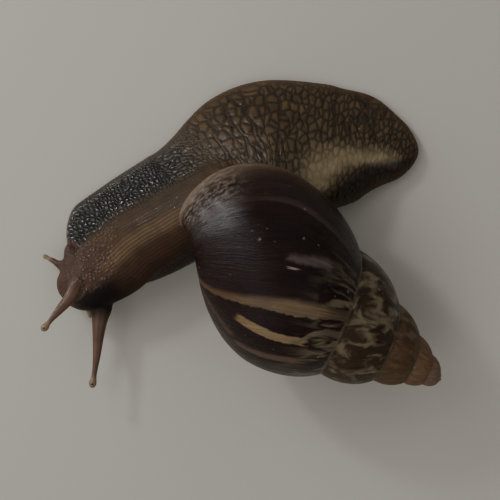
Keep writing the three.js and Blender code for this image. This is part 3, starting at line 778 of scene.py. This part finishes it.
# Where each point lies on the foot: distance along it, offset from its ridge, distance in from its margin, how far
# out it is of the foot's own round form, which is 1 on it, and the foot's height there.
def footPlaces(points):
    middle, side, half, height, crest, distance = footAt(np.linspace(0, 1, skin["footSamples"]))
    near = nearestInPlan(points, middle)
    half, height, crest = half[near], height[near], crest[near]
    across = ((points - middle[near]) * side[near]).sum(axis=1)
    fromCrest = across - crest
    onRight = fromCrest > 0
    power = np.where(onRight, foot["right"], foot["left"])
    reach = np.where(onRight, half - crest, half + crest)
    level = (np.abs(fromCrest) / np.maximum(reach, 0.3)) ** power + (
        np.maximum(points[:, 2] - foot["rim"], 0) / np.maximum(height, 0.3)) ** power
    return distance[near], fromCrest, half - np.abs(across), level, height


def neckPlaces(points):
    t = np.linspace(0, 1, skin["neckSamples"])
    x, y, z, halfWidth, halfHeight = np.moveaxis(between(neckStations, t), -1, 0)
    middle = np.stack([x, y, z], axis=-1)
    near = nearestInPlan(points, middle)
    across = ((points - middle[near]) * sideAt(neckStations, t)[near]).sum(axis=1)
    up = points[:, 2] - z[near]
    level = (np.abs(across) / halfWidth[near]) ** neck["fullness"] + (np.abs(up) / halfHeight[near]) ** neck["fullness"]
    return t[near], across / halfWidth[near], up / halfHeight[near], level


def buildSkin():
    pieces = [loftPiece("foot", footRings()), loftPiece("neck_body", neckRings())]
    pieces += [loftPiece(name, feelerRings(stations)) for name, stations in feelers.items()]
    pieces += [loftPiece("lobe", lobeRings(*lobe)) for lobe in skin["lobes"]]
    body = pieces[0]
    with bpy.context.temp_override(
            active_object=body, object=body, selected_objects=pieces, selected_editable_objects=pieces):
        bpy.ops.object.join()
    body.name = "snail_skin"
    remesh = body.modifiers.new("remesh", "REMESH")
    remesh.mode = "VOXEL"
    remesh.voxel_size = skin["voxel"] * metresPerMm
    mesh = bakeModifier(body, remesh)
    points = getPoints(mesh) / metresPerMm
    print("skin remeshed", len(points), "points")
    return body, points


def shapeSkin(body, points):
    mesh = body.data
    footLevel = footPlaces(points)[3]
    neckT, _, _, neckLevel = neckPlaces(points)
    # the crease between neck and foot is where both forms are near; the rim, head and feelers keep their shape
    join = smoothStep(1.9, 1.05, np.maximum(footLevel, neckLevel)) * smoothStep(2.0, 4.0, points[:, 2])
    join *= smoothStep(0.78, 0.6, neckT) * 0.95
    aboveSole = smoothStep(0.5, 1.5, points[:, 2])
    for centre, _ in skin["lobes"]:
        join = np.maximum(join, smoothStep(5, 2.5, np.linalg.norm(points - centre, axis=1)) * aboveSole * 0.5)
    points = smoothPoints(mesh, points, join, skin["blendRounds"])
    onFloor = smoothStep(0.35, 0.8, points[:, 2])
    points = smoothPoints(mesh, points, 0.15 + 0.85 * onFloor, skin["evenRounds"])
    # feelers go back to their true round section, beyond their roots
    tip = np.zeros(len(points))
    for stations in feelers.values():
        centres, _, radii = feelerLine(stations)
        lows, highs = centres.min(axis=0) - 4, centres.max(axis=0) + 4
        inBox = np.flatnonzero(((points > lows) & (points < highs)).all(axis=1))
        away = points[inBox, None] - centres[None]
        distance = np.linalg.norm(away, axis=2)
        nearest = (distance - radii[None]).argmin(axis=1)
        rows = np.arange(len(inBox))
        gap = distance[rows, nearest] - radii[nearest]
        share = nearest / (len(radii) - 1)
        pull = smoothStep(0.9, 0.45, np.abs(gap)) * smoothStep(0.3, 0.5, share)
        outward = away[rows, nearest] / np.maximum(distance[rows, nearest], 1e-6)[:, None]
        target = centres[nearest] + outward * radii[nearest][:, None]
        points[inBox] += (target - points[inBox]) * pull[:, None]
        reached = smoothStep(1.1, 0.4, np.abs(gap)) * smoothStep(0.1, 0.34, share)
        tip[inBox] = np.maximum(tip[inBox], reached)
    points[:, 2] = np.maximum(points[:, 2], 0)
    points[:, 2][points[:, 2] < skin["soleFlat"]] = 0
    return points, tip


# The pale back of the tail, as a line with its half width.
tailBack = ((19.9, 12.2, 5.0), (22.1, 15.6, 5.4), (25.1, 17.4, 4.6), (29.2, 18.7, 3.4), (34.4, 19.1, 2.9),
            (40.0, 18.4, 2.4))


# What the relief and the finish need to know about each point of the skin.
def markSkin(body, points, tip):
    mesh = body.data
    along, fromCrest, inset, footLevel, height = footPlaces(points)
    girth = np.sign(fromCrest) * np.hypot(fromCrest, np.maximum(foot["rim"] + height - points[:, 2], 0))
    neckT, neckAcross, neckUp, neckLevel = neckPlaces(points)
    neckShare = smoothStep(-1.1, 1.3, footLevel - neckLevel) * smoothStep(0.005, 0.05, neckT)
    line = between(tailBack, np.linspace(0, 1, 80))
    pale = np.zeros(len(points))
    rear = np.flatnonzero((points[:, 0] > 10) & (points[:, 1] > 0))
    away = points[rear, None, :2] - line[None, :, :2]
    distance = np.linalg.norm(away, axis=2)
    closest = distance.argmin(axis=1)
    gap = distance[np.arange(len(rear)), closest] / line[closest, 2]
    below = away[np.arange(len(rear)), closest, 1] < 0
    pale[rear] = np.exp(-(gap * np.where(below, 1.7, 0.9)) ** 2) * (1 - neckShare[rear])
    cheek = np.zeros(len(points))
    for centre, _ in skin["lobes"]:
        cheek = np.maximum(cheek, smoothStep(3.6, 2.2, np.linalg.norm(points - centre, axis=1)))
    neckShare = np.maximum(neckShare, cheek)
    # grains cover the crown behind the feelers and creep back along the neck's upper side
    beforeFace = smoothStep(0.74, 0.66, neckT)
    grainy = smoothStep(0.4, 0.49, neckT - 0.1 * neckAcross - 0.1 * np.maximum(neckAcross, 0)) * beforeFace
    grainy *= smoothStep(0.5, 0.3, neckAcross)
    knob = np.zeros(len(points))
    for stations in feelers.values():
        knob = np.maximum(knob, smoothStep(2.2, 1.0, np.linalg.norm(points - np.array(stations[-1][:3]), axis=1)))
    marks = {
        "neckShare": neckShare,
        "headShare": np.maximum(neckShare * smoothStep(0.46, 0.6, neckT), cheek),
        "grainShare": neckShare * np.maximum(grainy, 0.35 * smoothStep(0.64, 0.7, neckT)),
        "feelerShare": tip,
        "knobShare": knob,
        "rearShare": smoothStep(33, 52, along),
        "inset": inset,
        # the underside of the head behind the face, which the finish darkens with painted shade over a darker skin of
        # its own
        "throatShadeShare": neckShare * smoothStep(0.15, 0.5, neckAcross) * smoothStep(0.43, 0.55, neckT) * beforeFace,
        "pale": pale,
        # the flank left of the crest, which the finish darkens with painted shade where it turns from the light
        "shadedLowSide": smoothStep(0.5, -2.5, fromCrest),
        "raised": smoothStep(0.2, 1.0, points[:, 2]),
    }
    for name, values in marks.items():
        addAttribute(mesh, name, values)
    run = np.linspace(0, along.max(), 400)
    padSize = relief["padAlong"] + (relief["padEnd"] - relief["padAlong"]) * smoothStep(52, 100, run)
    padCount = np.concatenate([[0], np.cumsum(np.diff(run) / padSize[1:])])
    here = np.interp(along, run, padSize)
    neckAlong = between(withDistance(neckStations), neckT)[:, 5]
    none = np.zeros_like(along)
    for name, axes in (
            ("footPlace", (along, girth, none)), ("neckPlace", (neckAlong, neckAcross, neckUp)),
            ("padPlace", (np.interp(along, run, padCount), girth / (here * relief["padAspect"]), none))):
        addAttribute(mesh, name, np.stack(axes, axis=1), "FLOAT_VECTOR")


relief = {
    "pebbleSize": 1.25,  # knobs of the front flank
    "pebbleHeight": 0.29,
    "padAlong": 1.95,  # pads of the rear flank along the body, at its middle and at the tail
    "padEnd": 1.4,
    "padAspect": 1.6,  # how much longer they are across the body
    "smallShare": 0.35,  # height of the small knobs on them, against theirs
    "furrowAlong": 3.4,  # deeper furrows run out from the shell between rows of pads
    "furrowAcross": 13,
    "furrowDepth": 0.1,
    "padHeight": 0.1,
    "grainSize": 0.95,  # grains on the head
    "grainHeight": 0.22,
    "frillSize": 0.62,  # folds across the foot's margin
    "frillHeight": 0.22,
    "frillWidth": 3.0,
    "stripeGap": 0.098,  # between neck stripes, in half widths of the neck
    "stripeHeight": 0.03,
    "strength": 0.7,  # how much of it is in the shape
}


reliefNumbers = ("neckShare", "headShare", "grainShare", "feelerShare", "rearShare", "inset", "pale")
reliefVectors = ("footPlace", "padPlace", "neckPlace")


# The skin's relief as one number, in millimetres, with the patterns that make it up. It is built the same way in the
# shape and in the finish. Patterns on the mesh's own marks are in millimetres, and those on the spot in metres.
def addRelief(tree, values):
    addRows(tree, values, (
        # the patterns stray a little, so no row of knobs is straight
        ("wander", "noiseColour", "spot", 170.0, 1.0), ("wander", "less", "wander", (0.5, 0.5, 0.5)),
        ("wander", "scaled", "wander", 1.3), ("strayed", "moved", "footPlace", "wander"),
        ("pebbleAt", "scaled", "strayed", 1 / relief["pebbleSize"]), ("pebble", "cellEdges", "pebbleAt", 1.0, 0.8),
        ("pebble", "range", "pebble", 0.4, 0.0), ("pebble", "POWER", "pebble", 2.0),
        ("pebble", "SUBTRACT", 1.0, "pebble"),
        ("padShift", "scaled", "wander", 0.55), ("padAt", "moved", "padPlace", "padShift"),
        ("pad", "cellEdges", "padAt", 1.0, 0.85), ("pad", "ease", "pad", -0.06, 0.42),
        ("padKind", "flatCellColour", "padAt", 1.0, 0.85), ("padKind", "first", "padKind"),
        ("furrowAt", "times", "strayed", (1 / relief["furrowAlong"], 1 / relief["furrowAcross"], 0)),
        ("furrow", "noise", "furrowAt", 1.0, 1.0), ("furrow", "SUBTRACT", "furrow", 0.5),
        ("furrow", "ABSOLUTE", "furrow"), ("furrow", "ease", "furrow", 0.05, 0.0),
        ("smallKnob", "flatCells", "padAt", 2.3, 1.0), ("smallKnob", "ease", "smallKnob", 0.6, 0.1),
        ("grain", "cells", "spot", 1000 / relief["grainSize"], 0.8), ("grain", "ease", "grain", 0.62, 0.1),
        ("frills", "first", "footPlace"), ("frills", "MULTIPLY", "frills", 1 / relief["frillSize"]),
        ("frills", "noiseLine", "frills", 1.0, 2.0), ("atEdge", "ease", "inset", relief["frillWidth"], 0.3),
        ("neckAcross", "second", "neckPlace"), ("stripeAt", "times", "neckPlace", (0.22, 1.6, 0)),
        ("stripeWave", "noise", "stripeAt", 1.0, 2.0),
        ("stripes", "MULTIPLY", "neckAcross", 2 * math.pi / relief["stripeGap"]),
        ("stripes", "MULTIPLY_ADD", "stripeWave", 5.0, "stripes"), ("stripes", "SINE", "stripes"),
        ("stripes", "range", "stripes", -1.0, 1.0),
        # where each pattern holds
        ("onFoot", "SUBTRACT", 1.0, "neckShare"), ("inland", "SUBTRACT", 1.0, "atEdge"),
        ("inland", "MULTIPLY", "onFoot", "inland"), ("front", "SUBTRACT", 1.0, "rearShare"),
        ("plain", "SUBTRACT", 1.0, "feelerShare"), ("bold", "range", "pale", 0.1, 0.9, 1.0, 0.25),
        ("onNeck", "SUBTRACT", "neckShare", "headShare"), ("onHead", "MULTIPLY", "grainShare", "plain")))
    values["height"] = 0.0
    for pattern, tall, *shares in (
            ("pebble", relief["pebbleHeight"], "inland", "front"),
            ("pad", relief["padHeight"], "inland", "rearShare", "bold"),
            ("smallKnob", relief["padHeight"] * relief["smallShare"], "inland", "rearShare", "bold"),
            ("furrow", -relief["furrowDepth"], "inland", "rearShare", "bold"),
            ("grain", relief["grainHeight"], "onHead"),
            ("frills", relief["frillHeight"], "atEdge", "onFoot"),
            ("stripes", relief["stripeHeight"], "onNeck")):
        values["level"] = values[pattern]
        for share in shares:
            addRows(tree, values, (("level", "MULTIPLY", "level", share),))
        addRows(tree, values, (("height", "MULTIPLY_ADD", "level", tall, "height"),))


def buildReliefTree():
    tree, sockets, group = newGeometryTree("skinRelief", {
        "Geometry": "NodeSocketGeometry", "strength": "NodeSocketFloat"})
    values = {"spot": addNode(tree, "GeometryNodeInputPosition"), "normal": addNode(tree, "GeometryNodeInputNormal")}
    for kind, marks in (("FLOAT", (*reliefNumbers, "raised")), ("FLOAT_VECTOR", reliefVectors)):
        for mark in marks:
            values[mark] = addNode(tree, "GeometryNodeInputNamedAttribute", {"Name": mark}, data_type=kind)
    values["strength"] = group["strength"]
    addRelief(tree, values)
    addRows(tree, values, (
        ("height", "MULTIPLY", "height", "raised"), ("height", "MULTIPLY", "height", "strength"),
        ("height", "MULTIPLY", "height", metresPerMm), ("offset", "scaled", "normal", "height")))
    moved = addNode(tree, "GeometryNodeSetPosition", {"Geometry": group["Geometry"], "Offset": values["offset"]})
    endGeometryTree(tree, moved, group["material"])
    return tree, sockets


# Skin colours. Some of these are painted shade: the near black of the grooves, the darker flank left of the crest, the
# neck's lower side and the underside of the head.
skinTones = {
    "front": "#191611", "rear": "#483926", "grooveShade": "#0e0a06", "margin": "#463220", "shadedLowSide": "#17110c",
    "tailBack": "#88785c", "neckUpper": "#403225", "neckPale": "#5e4b37", "neckUnderShade": "#3d2b1f", "head": "#402e25",
    "grainTop": "#563d31", "throatShade": "#140b08", "feeler": "#553f32", "knob": "#78664f",
}


# Snail skin: living tissue packed with knobs and pads under a film of mucus. The film gives sharp small glints on
# every knob, and what is under it is dark, soft and a little translucent.
def skinMaterial():
    material, tree, values = newMaterial(
        "wet_snail_skin", (*reliefNumbers, "knobShare", "throatShadeShare", "shadedLowSide"), reliefVectors)
    addRelief(tree, values)
    tones = skinTones
    addRows(tree, values, (
        # foot: dark front, browner rear, pads of unlike tone, and painted shade taking the grooves and furrows between
        # them to near black
        ("mottle", "noise", "spot", 260.0, 3.0), ("colour", "blend", "rearShare", tones["front"], tones["rear"]),
        ("padTone", "range", "padKind", 0.0, 1.0, 0.78, 1.28), ("padTone", "mix", "rearShare", 1.0, "padTone"),
        ("colour", "scaled", "colour", "padTone"), ("colour", "blend", "pale", "colour", tones["tailBack"]),
        # painted shade: the colour sinks towards near black where the knobs and pads are low and in the furrows, less
        # on the pale back of the tail
        ("knobs", "mix", "rearShare", "pebble", "pad"), ("depth", "range", "knobs", 0.0, 0.8, 0.8, 0.0),
        ("furrowed", "MULTIPLY", "furrow", "rearShare"), ("furrowed", "MULTIPLY", "furrowed", 0.7),
        ("depth", "MAXIMUM", "depth", "furrowed"), ("faint", "range", "pale", 0.1, 0.9, 1.0, 0.3),
        ("depth", "MULTIPLY", "depth", "faint"), ("colour", "blend", "depth", "colour", tones["grooveShade"]),
        # painted shade on the flank left of the crest, turned from the light, a little less on the rear; the flank is
        # partly darker in its own right too
        ("side", "range", "rearShare", 0.0, 1.0, 0.95, 0.75), ("side", "MULTIPLY", "shadedLowSide", "side"),
        ("colour", "blend", "side", "colour", tones["shadedLowSide"]), ("fringe", "range", "frills", 0.35, 0.65, 0.45, 1.0),
        ("fringe", "MULTIPLY", "fringe", "atEdge"), ("brown", "range", "rearShare", 0.0, 1.0, 0.25, 1.0),
        ("fringe", "MULTIPLY", "fringe", "brown"), ("colour", "blend", "fringe", "colour", tones["margin"]),
        # neck: pale stripes a little to the right of its middle, with painted shade darkening its left side, which
        # faces down and away from the light
        ("low", "ease", "neckAcross", -0.05, 0.35), ("neck", "blend", "low", tones["neckUpper"], tones["neckUnderShade"]),
        ("band", "ADD", "neckAcross", 0.08), ("band", "ABSOLUTE", "band"), ("band", "ease", "band", 0.36, 0.06),
        ("stripe", "ease", "stripes", 0.1, 0.8, 0.5, 1.0), ("band", "MULTIPLY", "band", "stripe"),
        # painted shade in the folds: lighter on the stripes' ridges and darker between them, over the stripes' own pale
        # tone
        ("neck", "blend", "band", "neck", tones["neckPale"]), ("fold", "range", "stripes", 0.0, 1.0, 0.88, 1.1),
        ("neck", "scaled", "neck", "fold"), ("neck", "blend", "headShare", "neck", tones["head"]),
        # grain tops lighter than the gaps between them: partly the grains' own tone, partly painted shade in the gaps
        ("grainOn", "MULTIPLY", "grain", "grainShare"), ("neck", "blend", "grainOn", "neck", tones["grainTop"]),
        # painted shade under the head where it faces down, near black over its own darker tone
        ("neck", "blend", "throatShadeShare", "neck", tones["throatShade"]), ("colour", "blend", "neckShare", "colour", "neck"),
        ("colour", "blend", "feelerShare", "colour", tones["feeler"]),
        ("colour", "blend", "knobShare", "colour", tones["knob"]),
        ("mottled", "range", "mottle", 0.3, 0.7, 0.78, 1.25), ("colour", "scaled", "colour", "mottled"),
        # the film is thick on the knobs of the front and of the head, thin on the rear and gone from the neck
        ("wet", "POWER", "front", 2.0), ("dry", "range", "shadedLowSide", 0.0, 1.0, 1.0, 0.15),
        ("wet", "MULTIPLY", "wet", "dry"), ("wet", "range", "wet", 0.0, 1.0, 0.16, 0.85),
        ("wet", "MULTIPLY", "wet", "onFoot"),
        ("wetGrain", "MULTIPLY", "grainOn", 0.55), ("wet", "MAXIMUM", "wet", "wetGrain"),
        ("wetFeeler", "MULTIPLY", "feelerShare", 0.3), ("wet", "MAXIMUM", "wet", "wetFeeler"),
        ("rough", "range", "mottle", 0.3, 0.7, 0.48, 0.65), ("bare", "MULTIPLY", "onNeck", 0.2),
        ("rough", "ADD", "rough", "bare"), ("fine", "noise", "spot", 1800.0, 2.0),
        ("height", "MULTIPLY_ADD", "fine", 0.05, "height"), ("height", "MULTIPLY", "height", metresPerMm)))
    bump = addNode(tree, "ShaderNodeBump", {"Strength": 1.0, "Distance": 1.0, "Height": values["height"]})
    addSurface(tree, {
        "Base Color": values["colour"], "Roughness": values["rough"], "IOR": 1.38, "Specular IOR Level": 0.2,
        "Normal": bump, "Coat Weight": values["wet"], "Coat Roughness": 0.11, "Coat IOR": 1.5, "Coat Normal": bump})
    return material


skinFinish = skinMaterial()
skinPiece, skinPoints = buildSkin()
skinPoints, tipShare = shapeSkin(skinPiece, skinPoints)
setPoints(skinPiece.data, skinPoints * metresPerMm)
markSkin(skinPiece, skinPoints, tipShare)
reliefTree, reliefSockets = buildReliefTree()
applyTree(skinPiece, reliefTree, reliefSockets, {"strength": relief["strength"], "material": skinFinish})
print("skin", len(skinPiece.data.polygons), "faces")
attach(skinPiece, "root")
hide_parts("foot_front", "foot_middle", "tail", "neck", "head", "upper_tentacle_right",
            "upper_tentacle_left", "lower_tentacle_right", "lower_tentacle_left")

# The mantle collar, the fleshy roll that closes the mouth of the shell round the neck.
collar = {
    "lipSteps": 150,
    "inSteps": 40,
    "inset": 1.35,  # how far it stays inside the lip
    "setBack": 0.012,  # how far behind the lip it lies, in turns
    "roll": 1.1,  # how far it swells out of the mouth
    "rollShare": 0.16,  # how far in from the lip the roll reaches, of the way to the middle
    "sink": 1.5,  # how far the middle lies back
    "sinkFromTo": (0.1, 0.6),
    "span": (2, 178),  # part of the lip that it follows
    "edgeTurns": 0.03,  # how far its edge runs back inside the shell
    "clear": 0.3,  # above the floor
    "dark": "#2f241b",
    "light": "#57483a",
}


# Points of the shell's own section, the same as its tree makes, moved out by grow.
def shellPoint(turnPlace, angle, grow):
    down = angle > 90
    power = 2 / np.where(down, shell["fullnessDown"], shell["fullnessUp"])
    sine, cosine = np.maximum(np.sin(np.radians(angle)), 0), np.cos(np.radians(angle))
    trailing = np.clip((angle - shell["sweepFrom"]) / (180 - shell["sweepFrom"]), 0, 1) ** shell["sweepPower"]
    turn = turnPlace - shell["baseSweep"] * trailing / 360
    scale = shell["growth"] ** turn
    reach = np.where(down, shell["reachDown"], shell["reachUp"]) * scale + grow
    height = shell["centreHeight"] * scale - np.sign(cosine) * reach * np.abs(cosine) ** power
    swollen = 1 + shell["swell"] * smoothStep(shell["swellFrom"], shell["swellTo"], -turn)
    radius = shell["centreRadius"] * scale * swollen + (shell["reachOut"] * scale * swollen + grow) * sine ** power
    around = np.radians(shell["lipAngle"] + 360 * turn)
    axis, upward, sideward = (np.array(v) for v in shellFrame())
    return (np.array(shell["apex"]) + height[..., None] * axis + (radius * np.cos(around))[..., None] * upward
            + (radius * np.sin(around))[..., None] * sideward)


def buildCollar():
    angle = np.linspace(*collar["span"], collar["lipSteps"])
    edge = shellPoint(-collar["setBack"], angle, -collar["inset"])
    back = shellPoint(-collar["setBack"] - collar["edgeTurns"], angle, -collar["inset"])
    share = np.linspace(0, 1, collar["inSteps"])[:, None, None]
    flat = edge[None] + (edge.mean(axis=0) - edge)[None] * share
    swell = np.sin(np.clip(share / collar["rollShare"], 0, 1) * np.pi) * collar["roll"]
    swell = swell - smoothStep(*collar["sinkFromTo"], share) * collar["sink"]
    rings = np.concatenate([back[None], flat + unit(edge - back)[None] * swell])
    count = collar["lipSteps"]
    points = rings.reshape(-1, 3)
    starts = [i * count + j for i in range(len(rings) - 1) for j in range(count - 1)]
    faces = [(a, a + 1, a + count + 1, a + count) for a in starts]
    points[:, 2] = np.maximum(points[:, 2], collar["clear"])
    piece = makePiece("mantle_roll", points * metresPerMm, faces)
    piece.data.polygons.foreach_set("use_smooth", [True] * len(faces))
    piece.data.update()
    return piece


# Mantle flesh: smooth, wet and grey-brown, lighter than the skin round it.
def collarMaterial():
    material, tree, values = newMaterial("wet_mantle_flesh")
    addRows(tree, values, (
        ("tone", "noise", "spot", 420.0, 3.0), ("tone", "range", "tone", 0.35, 0.65),
        ("colour", "blend", "tone", collar["dark"], collar["light"]), ("fine", "noise", "spot", 2400.0, 2.0)))
    bump = addNode(tree, "ShaderNodeBump", {"Strength": 0.4, "Distance": 0.0001, "Height": values["fine"]})
    addSurface(tree, {"Base Color": values["colour"], "Roughness": 0.45, "Normal": bump, "Coat Weight": 0.4,
                      "Coat Roughness": 0.15, "Coat Normal": bump})
    return material


collarPiece = buildCollar()
collarPiece.data.materials.append(collarMaterial())
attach(collarPiece, "root")
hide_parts("mantle_collar")

# The eyes, black beads set in the top of the upper feelers' knobs.
eye = {
    "radius": 0.42,
    "proud": 0.12,  # how far it stands out of its knob
    "lean": 20,  # degrees that it leans towards the feeler's tip
    "segments": 40,
    "dark": "#050404",
    "light": "#120d0a",
}


# Black pigment under a clear wet lens: a hard small glint on a bead that is otherwise the darkest point of the animal.
def eyeMaterial():
    material, tree, values = newMaterial("eye_black_wet")
    addRows(tree, values, (
        ("cloud", "noise", "spot", 4000.0, 1.0), ("colour", "blend", "cloud", eye["dark"], eye["light"])))
    addSurface(tree, {"Base Color": values["colour"], "Roughness": 0.12, "IOR": 1.4, "Coat Weight": 0.6})
    return material


def buildEyeTree():
    tree, sockets, group = newGeometryTree("eyeBead", {
        "radius": "NodeSocketFloat", "place": "NodeSocketVector", "segments": "NodeSocketInt"})
    ball = addNode(tree, "GeometryNodeMeshUVSphere", {
        "Segments": group["segments"], "Rings": group["segments"], "Radius": group["radius"]})
    placed = addNode(tree, "GeometryNodeTransform", {"Geometry": ball.outputs["Mesh"], "Translation": group["place"]})
    endGeometryTree(tree, placed, group["material"])
    return tree, sockets


eyeTree, eyeSockets = buildEyeTree()
eyeFinish = eyeMaterial()
for side, stations in (("right", feelers["upperRight"]), ("left", feelers["upperLeft"])):
    tip, before = np.array(stations[-1][:3]), np.array(stations[-2][:3])
    lean = math.radians(eye["lean"])
    ahead = unit((tip - before) * (1, 1, 0)) * math.sin(lean)
    ahead[2] = math.cos(lean)
    place = tip + ahead * (stations[-1][3] + eye["proud"] - eye["radius"])
    bead = makePiece(f"{side}_eye_bead", [(0, 0, 0)], [])
    applyTree(bead, eyeTree, eyeSockets, {
        "radius": eye["radius"] * metresPerMm, "place": tuple(place * metresPerMm), "segments": eye["segments"],
        "material": eyeFinish})
    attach(bead, "root")
    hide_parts(f"eye_{side}")
print("eyes ready")
